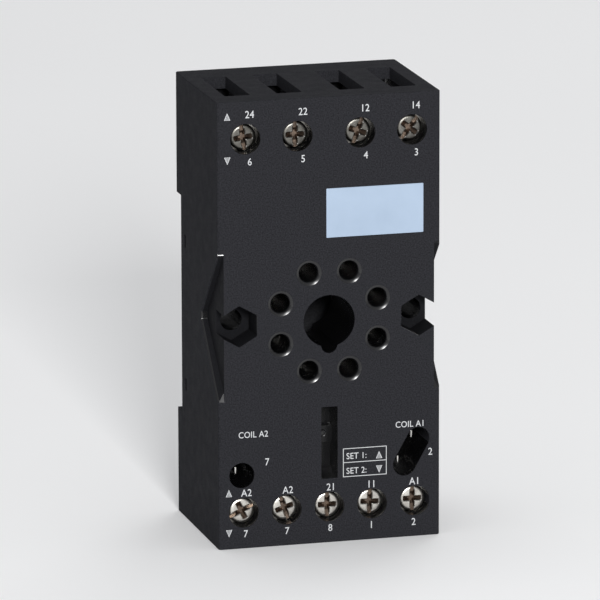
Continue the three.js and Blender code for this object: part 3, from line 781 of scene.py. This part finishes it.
def screw_mesh(top, end):
    """One terminal screw on the Y axis: pan head, drive recess and rolled thread."""
    bm = bmesh.new()
    under = top + HEAD_THICK
    profile = [(0, top)]
    profile += [(r, top + d) for r, d in (
        (0.8, 0), (1.62, 0.015), (1.86, 0.07), (2.02, 0.17), (2.12, 0.32),
        (HEAD, 0.52), (HEAD, 1.3), (HEAD - 0.08, 1.44), (HEAD - 0.25, HEAD_THICK),
    )]
    profile += [(SHANK + 0.12, under), (SHANK - 0.02, under + 0.1), (SHANK - THREAD, under + 0.35), (0, end)]
    made = turn(bm, 0, 0, profile, 64)
    shank_top = made[-1]
    bmesh.ops.delete(bm, geom=[v for v in bm.verts if v.co.y > end - 1e-4], context="VERTS")
    sides, step = 64, PITCH / 5
    count = int((end - under - 0.6) / step)
    rings = [shank_top]
    for k in range(1, count + 1):
        y = under + 0.35 + k * step
        fade = min(1, k / 6, (count - k) / 4)
        ring = []
        for i in range(sides):
            phase = (y / PITCH - i / sides) % 1
            radius = SHANK - THREAD + THREAD * fade * max(0, 1 - abs(2 * phase - 1) * 1.25)
            angle = 2 * math.pi * i / sides
            ring.append(bm.verts.new((radius * math.sin(angle), y, radius * math.cos(angle))))
        rings.append(ring)
    for lower, upper in zip(rings, rings[1:]):
        for i in range(sides):
            j = (i + 1) % sides
            bm.faces.new((lower[i], lower[j], upper[j], upper[i]))
    bm.faces.new(rings[-1])
    return bm


HEAD_SLOT, TARNISH_AND_SHADE_SLOT, EDGE_HIGHLIGHT_SLOT = range(3)


def make_screws():
    low, high = box_mm(SCREWS[0])
    master = new_object("screw_master", screw_mesh(low.y, high.y))
    subtract(master, drive_cutters(low.y))
    smooth(master, 30)
    for face in master.data.polygons:
        x, y, z = face.center / MM
        in_cross = math.hypot(x, z) < 1.62 and low.y + 0.1 < y < low.y + 1.2
        in_slot = abs(x) < 0.275 and low.y + 0.1 < y < low.y + 0.8
        tilted = face.normal.y > -0.85 and math.hypot(x, z) < 1.9
        # Painted highlight: the tilted faces at the drive recess's edge get the bright metal
        if tilted and low.y + 0.04 < y < low.y + RECESS_EDGE:
            face.material_index = EDGE_HIGHLIGHT_SLOT
        else:
            # The slot and cross faces get the tarnished steel, darkened as painted shade
            face.material_index = TARNISH_AND_SHADE_SLOT if in_cross or in_slot else HEAD_SLOT
    for node in SCREWS:
        name = node.removeprefix("terminal_screw_")
        centre = centre_mm("clamp_plate_" + name)
        piece = bpy.data.objects.new("screw_" + name, master.data.copy())
        bpy.context.scene.collection.objects.link(piece)
        spin = Matrix.Rotation(math.radians(SCREW_TURNS[name]), 4, "Y")
        shift = Matrix.Translation(Vector((centre.x, 0, centre.z)) * MM)
        piece.data.transform(shift @ spin)
        indices = [face.material_index for face in piece.data.polygons]
        # Painted shade: the top row's heads get the darker copy of the plating
        give(piece, SHADED_PLATING if centre.z > 0 else PLATED, TARNISH_AND_SHADE, EDGE_HIGHLIGHT)
        piece.data.polygons.foreach_set("material_index", indices)
        smooth(piece, 30)
        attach(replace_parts(piece, node), body_of_node(node))
    bpy.data.objects.remove(master)


def make_clamps():
    """Clamp plates with turned-down edges and gripping grooves, and the square nuts behind the strips."""
    for node in PLATES:
        low, high = box_mm(node)
        centre = (low + high) / 2
        bm = bmesh.new()
        outline = rectangle(low.x, high.x, low.z, high.z, 0.45, 4)
        levels = ((-0.12, low.y), (0, low.y + 0.12), (0, high.y - 0.12), (-0.12, high.y))
        loft(bm, [[Vector((u, y, v)) for u, v in outline(o)] for o, y in levels])
        plate = new_object("clamp_" + node.removeprefix("clamp_plate_"), bm)
        hole, grooves = bmesh.new(), bmesh.new()
        loft(hole, [
            [Vector((u, y, v)) for u, v in circle(centre.x, centre.z, 1.85, 32)(0)]
            for y in (low.y - 1, high.y + 1)
        ])
        for shift in (-2.1, 2.1):
            x = centre.x + shift
            corners = [(x - 0.16, high.y + 0.1), (x, high.y - 0.22), (x + 0.16, high.y + 0.1)]
            loft(grooves, [[Vector((u, y, z)) for u, y in corners] for z in (low.z - 1, high.z + 1)])
        subtract(plate, [hole, grooves])
        smooth(plate, 30)
        give(plate, PLATED)
        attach(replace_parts(plate, node), body_of_node(node))
    for node in NUTS + STRIPS:
        piece = give(frame["nodes"][node], BRASS if node in NUTS else DULL_BRASS)
        round_edges(piece, 0.08, segments=2)


def make_contacts():
    """Tulip sleeves behind the octal holes, and bowed leaves behind the module holes."""
    for node in PIN_CONTACTS:
        low, high = box_mm(node)
        centre = (low + high) / 2
        bm = bmesh.new()
        outer, inner = 1.72, 1.2
        mouth, end = low.y, high.y
        turn(bm, 0, 0, [
            (0, end - 2.2), (0.6, end - 2.3), (inner, end - 2.7), (inner, mouth + 2.4),
            (inner - 0.12, mouth + 1.4), (inner, mouth + 0.6),
            (inner + 0.2, mouth + 0.12), (inner + 0.32, mouth),
            (outer - 0.08, mouth + 0.02), (outer, mouth + 0.15),
            (outer - 0.06, mouth + 1.2), (outer, mouth + 2.4),
            (outer, end - 1.9), (outer - 0.35, end - 1.2), (outer - 0.35, end), (0, end),
        ], 40)
        sleeve = new_object(node.replace("pin_contact", "tulip"), bm)
        slits = []
        for angle in (45, 135):
            slit = bmesh.new()
            box_cutter(slit, (-0.16, mouth - 1, -2.5), (0.16, mouth + 4.6, 2.5))
            bmesh.ops.rotate(slit, matrix=Matrix.Rotation(math.radians(angle), 3, "Y"), verts=slit.verts)
            slits.append(slit)
        subtract(sleeve, slits)
        sleeve.data.transform(Matrix.Translation(Vector((centre.x, 0, centre.z)) * MM))
        smooth(sleeve, 30)
        give(sleeve, TIN)
        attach(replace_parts(sleeve, node), "root")
    for node in MODULE_CONTACTS:
        make_leaf(node)


LEAF_THICK = 0.4


def curve_points(points, steps):
    """A smooth open curve through the points (Catmull-Rom)."""
    ends = [points[0], *points, points[-1]]
    made = []
    for a, b, c, d in zip(ends, ends[1:], ends[2:], ends[3:]):
        for k in range(steps):
            t = k / steps
            made.append(tuple(
                q + 0.5 * t * ((r - p) + t * ((2 * p - 5 * q + 4 * r - s) + t * (3 * q - p - 3 * r + s)))
                for p, q, r, s in zip(a, b, c, d)
            ))
    made.append(points[-1])
    return made


def make_leaf(node):
    """A bowed spring leaf on edge behind a module hole."""
    low, high = box_mm(node)
    centre_x = low.x + LEAF_THICK / 2
    half = LEAF_THICK / 2
    bow = curve_points([(0, 0), (0.2, 1.1), (0.35, 2.4), (0.15, 4.1), (0, 5.4), (0, high.y - low.y)], 5)
    outline = [(centre_x + u + half, low.y + v) for u, v in bow]
    outline += [(centre_x + u - half, low.y + v) for u, v in reversed(bow)]
    bm = bmesh.new()
    loft(bm, [[Vector((u, v, z)) for u, v in outline] for z in (low.z, high.z)])
    leaf = new_object(node.replace("module_contact", "leaf"), bm)
    round_edges(leaf, 0.12, angle=50)
    apply_modifiers(leaf)
    smooth(leaf, 40)
    give(leaf, TIN)
    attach(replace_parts(leaf, node), "root")


# Rear cover, rail latch and spring ----------------------------------------------------------------
SPRING_RADIUS = 1.2
SPRING_WIRE = 0.2
SPRING_TURNS = 5
SPRING_CENTRE = 1.75
SPRING_FLATTEN = 0.75


def round_edges(piece, width, segments=3, angle=40):
    weld = piece.modifiers.new("weld", "WELD")
    weld.merge_threshold = 1e-4 * MM
    edge = piece.modifiers.new("edge", "BEVEL")
    edge.width = width * MM
    edge.segments = segments
    edge.limit_method = "ANGLE"
    edge.angle_limit = math.radians(angle)


def soften(node, material, width):
    """Rounds the moulded edges of one of the frame's own parts and gives it its material."""
    piece = give(frame["nodes"][node], material)
    round_edges(piece, width)
    return piece


def rib(bm, x0, x1, z0, z1, y0, y1):
    """A moulded rib that stands proud of a face, with drafted sides."""
    draft = 0.12
    outline = rectangle(x0, x1, z0, z1, 0.12, 3)
    loft(bm, [[Vector((u, y, v)) for u, v in outline(o)] for o, y in ((0, y0), (0, y1 - 0.1), (-draft, y1))])


def make_rear_parts():
    make_cover()
    soften("rail_latch", DARK, 0.15)
    grips = bmesh.new()
    back = box_mm("rail_latch")[1].y
    for z in (-20.4, -21.2, -22.0):
        rib(grips, -5.4, 5.4, z - 0.2, z + 0.2, back - 0.1, back + 0.22)
    grip = new_object("latch_grip_ribs", grips, 30)
    give(grip, DARK)
    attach(grip, "rail_latch")
    make_spring()


COVER_PANELS = ((-11.4, -6.1), (-5.1, -0.5), (0.5, 5.1), (6.1, 11.4))
PANEL_FOOT = 19.6
PANEL_TOP = 33.2
PANEL_DEPTH = 0.4
MARK_X = 13.4
MARK_DEPTH = 0.12


def ejector_marks():
    """(plane, x, z, radius) of each round mark that an ejector pin leaves."""
    marks = []
    for x in (-MARK_X, MARK_X):
        marks += [(from_back, x, z, 1.3) for z in (21.5, 32.2, -22.6, -31.8)]
        marks += [(from_seat, x, z, 1.3) for z in (12.2, -14.4)]
    return marks + [(from_seat, 0, z, 1.6) for z in (8, -8)]


def make_cover():
    """The rear cover, with rounded edges, sunk panels between its ribs and the marks of ejector pins."""
    source = frame["nodes"]["rear_cover"]
    cover = bpy.data.objects.new("cover", source.data.copy())
    bpy.context.scene.collection.objects.link(cover)
    cover.matrix_world = source.matrix_world
    round_edges(cover, 0.15)
    apply_modifiers(cover)
    panels, marks = bmesh.new(), bmesh.new()
    for x0, x1 in COVER_PANELS:
        sink(panels, from_back, rectangle(x0, x1, PANEL_FOOT, PANEL_TOP, 0.4, 4), PANEL_DEPTH, lip=0.08)
    for plane, x, z, radius in ejector_marks():
        sink(marks, plane, circle(x, z, radius, 40), MARK_DEPTH, lip=0.04)
    subtract(cover, [panels, marks])
    smooth(cover, 32)
    give(cover, DARK)
    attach(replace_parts(cover, "rear_cover"), "root")


def make_spring():
    """A fine oval coil that the latch squeezes as it is drawn down."""
    low, high = box_mm("latch_spring")
    foot, head = low.z + SPRING_WIRE, high.z - SPRING_WIRE
    per_turn, sides = 36, 10
    rings = []
    for k in range(SPRING_TURNS * per_turn + 1):
        share = k / (SPRING_TURNS * per_turn)
        angle = share * SPRING_TURNS * 2 * math.pi
        outward = Vector((math.cos(angle), SPRING_FLATTEN * math.sin(angle), 0))
        middle = Vector((0, SPRING_CENTRE, foot + (head - foot) * share)) + SPRING_RADIUS * outward
        out = outward.normalized()
        rings.append([
            middle + SPRING_WIRE * (out * math.cos(t) + Vector((0, 0, 1)) * math.sin(t))
            for t in (2 * math.pi * i / sides for i in range(sides))
        ])
    bm = bmesh.new()
    loft(bm, rings)
    spring = new_object("latch_coil", bm, 60)
    give(spring, SPRING)
    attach(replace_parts(spring, "latch_spring"), "root")
    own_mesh(spring)


# Label and printed marks --------------------------------------------------------------------------
def make_label():
    low, high = box_mm("label")
    bm = bmesh.new()
    outline = rectangle(low.x, high.x, low.z, high.z, 0.12, 4)
    levels = [(0, high.y), (0, low.y + 0.04), (-0.012, low.y + 0.012), (-0.04, low.y)]
    loft(bm, [[Vector((u, y, v)) for u, v in outline(o)] for o, y in levels])
    label = new_object("marking_label", bm, 30)
    give(label, LABEL)
    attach(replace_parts(label, "label"), "root")


INK_LIFT = 0.012
CAP_HEIGHT = 1.17
SMALL_CAP = 1.02

# Printed numbers: (text, x of its middle, z of its middle)
MARKS = [
    *(("24", -13.1, 34.6), ("22", -4.3, 34.6), ("12", 6.1, 34.6), ("14", 14.5, 34.6)),
    *(("6", -13.1, 26.9), ("5", -4.3, 26.9), ("4", 6.1, 26.9), ("3", 14.5, 26.9)),
    *(("A2", -13.9, -27.5), ("A2", -7.0, -27.5), ("21", 0.1, -27.5), ("11", 7.0, -27.5), ("A1", 14.1, -27.5)),
    *(("7", -14.0, -34.3), ("7", -7.1, -34.3), ("8", 0.1, -34.3), ("1", 7.0, -34.3), ("2", 14.1, -34.3)),
    *(("COIL A2", -12.7, -17.9), ("7", -10.4, -22.6), ("COIL A1", 13.4, -17.95), ("2", 16.9, -22.75)),
    *(("SET 1:", 4.5, -22.6), ("SET 2:", 4.5, -25.05)),
]
# Printed arrowheads: (x, z, +1 pointing up or -1 pointing down)
ARROWS = [
    (-16.8, 34.4, 1), (-16.8, 27.2, -1), (-16.8, -27.4, 1), (-16.8, -34.1, -1),
    (8.3, -22.7, 1), (8.3, -25.1, -1),
]
KEY_BOX = {"left": 2.3, "right": 9.5, "top": -21.35, "middle": -23.65, "foot": -26.0, "line": 0.11}


def add_text(bm, text, x, z, cap):
    """Adds flat letters in Blender's own font, centred on (x, z) on the front face."""
    curve = bpy.data.curves.new("text", "FONT")
    curve.body = text
    curve.extrude = 0.01
    curve.space_character = 1.04
    curve.offset = 0.004
    curve.resolution_u = 4
    made = bpy.data.objects.new("text", curve)
    bpy.context.scene.collection.objects.link(made)
    bpy.context.view_layer.update()
    mesh = bpy.data.meshes.new_from_object(made.evaluated_get(bpy.context.evaluated_depsgraph_get()))
    width = [v.co.x for v in mesh.vertices]
    height = [v.co.y for v in mesh.vertices]
    scale = cap / (max(height) - min(height))
    middle = Vector(((max(width) + min(width)) / 2, (max(height) + min(height)) / 2))
    for v in mesh.vertices:
        u, w, depth = v.co
        v.co = (x + (u - middle.x) * scale * 0.9, FRONT - INK_LIFT * (depth > 0), z + (w - middle.y) * scale)
    bm.from_mesh(mesh)
    bpy.data.meshes.remove(mesh)
    bpy.data.objects.remove(made)
    bpy.data.curves.remove(curve)


def add_plate(bm, corners):
    loft(bm, [[Vector((u, y, v)) for u, v in corners] for y in (FRONT, FRONT - INK_LIFT)])


def add_bar(bm, u0, u1, v0, v1):
    add_plate(bm, [(u0, v0), (u1, v0), (u1, v1), (u0, v1)])


def add_arrow(bm, x, z, way):
    """An outlined arrowhead filled with fine level lines."""
    half, rise, line, gap = 0.52, 0.6, 0.09, 0.09
    outer = [(-half, -rise), (half, -rise), (0, rise)]
    inset = 2 * half * rise / (half + math.hypot(half, 2 * rise))
    middle, share = inset - rise, 1 - line / inset
    inner = [(u * share, middle + (v - middle) * share) for u, v in outer]
    plates = [[outer[i - 1], outer[i], inner[i], inner[i - 1]] for i in range(3)]
    foot, tip = inner[0][1], inner[2][1]
    low = foot + gap
    while low + line < tip:
        near, far = (inner[1][0] * (tip - v) / (tip - foot) for v in (low, low + line))
        plates.append([(-near, low), (near, low), (far, low + line), (-far, low + line)])
        low += line + gap
    for plate in plates:
        add_plate(bm, [(x + u, z + way * v) for u, v in plate][::way])


def make_marks():
    bm = bmesh.new()
    for text, x, z in MARKS:
        add_text(bm, text, x, z, SMALL_CAP if len(text) > 2 else CAP_HEIGHT)
    for x, z, way in ARROWS:
        add_arrow(bm, x, z, way)
    key = KEY_BOX
    half = key["line"] / 2
    for z in (key["top"], key["middle"], key["foot"]):
        add_bar(bm, key["left"] - half, key["right"] + half, z - half, z + half)
    for x in (key["left"], key["right"]):
        for low, high in ((key["foot"], key["middle"]), (key["middle"], key["top"])):
            add_bar(bm, x - half, x + half, low + half, high - half)
    marks = new_object("printed_marks", bm)
    give(marks, INK)
    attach(marks, "root")


# Room, lights and camera --------------------------------------------------------------------------
def make_camera():
    """The photograph's viewpoint: a long lens, from the left and a little above."""
    azimuth, elevation, roll = (math.radians(a) for a in (-15.27, 13.22, -0.15))
    distance, slide_right, slide_up = 1185, 4.71, -3.37
    back = Vector((
        math.sin(azimuth) * math.cos(elevation),
        -math.cos(azimuth) * math.cos(elevation),
        math.sin(elevation),
    ))
    level = Vector((0, 0, 1)).cross(back).normalized()
    upright = back.cross(level)
    right = level * math.cos(roll) + upright * math.sin(roll)
    up = upright * math.cos(roll) - level * math.sin(roll)
    face_centre = Vector((0, FRONT, 0))
    place = face_centre - right * slide_right - up * slide_up + back * distance
    data = bpy.data.cameras.new("camera")
    data.sensor_width = 36
    data.lens = 443.1
    data.clip_start = 0.01
    camera = bpy.data.objects.new("camera", data)
    camera.matrix_world = Matrix((
        (right.x, up.x, back.x, place.x * MM),
        (right.y, up.y, back.y, place.y * MM),
        (right.z, up.z, back.z, place.z * MM),
        (0, 0, 0, 1),
    ))
    bpy.context.scene.collection.objects.link(camera)
    bpy.context.scene.camera = camera


def make_floor():
    material, nodes, links, shader = new_material("floor")
    cloud = noise(nodes, links, 3.0, detail=2.0)
    links.new(ramp(nodes, links, cloud, [(0.3, grey(0.92)), (0.7, grey(0.94))]), shader.inputs["Base Color"])
    shader.inputs["Roughness"].default_value = 0.8
    bm = bmesh.new()
    bmesh.ops.create_grid(bm, x_segments=2, y_segments=2, size=4000)
    bmesh.ops.translate(bm, vec=(0, 0, BOTTOM), verts=bm.verts)
    floor = new_object("floor", bm)
    give(floor, material)


def area_light(name, place, power, width, height):
    """A softbox in metres that faces the middle of the socket."""
    data = bpy.data.lights.new(name, "AREA")
    data.shape = "RECTANGLE"
    data.size = width
    data.size_y = height
    data.energy = power
    light = bpy.data.objects.new(name, data)
    light.location = place
    light.rotation_euler = (-Vector(place)).to_track_quat("-Z", "Y").to_euler()
    bpy.context.scene.collection.objects.link(light)


def make_lights():
    area_light("key", (-0.15, -1.25, 0.45), 14, 0.26, 0.26)
    area_light("overhead", (0.0, 0.2, 1.4), 2.5, 0.8, 0.8)
    area_light("rear_fill", (0.8, 1.0, 0.5), 3, 0.7, 0.7)
    world = bpy.data.worlds.new("studio")
    world.use_nodes = True
    world.node_tree.nodes["Background"].inputs["Color"].default_value = (0.97, 0.98, 1.0, 1)
    world.node_tree.nodes["Background"].inputs["Strength"].default_value = 0.48
    bpy.context.scene.world = world


def use_plain_colours():
    bpy.context.scene.view_settings.view_transform = "Standard"


# The scene ----------------------------------------------------------------------------------------
make_camera()
make_floor()
make_lights()
use_plain_colours()
make_housing()
make_screws()
make_clamps()
make_contacts()
make_rear_parts()
make_label()
make_marks()
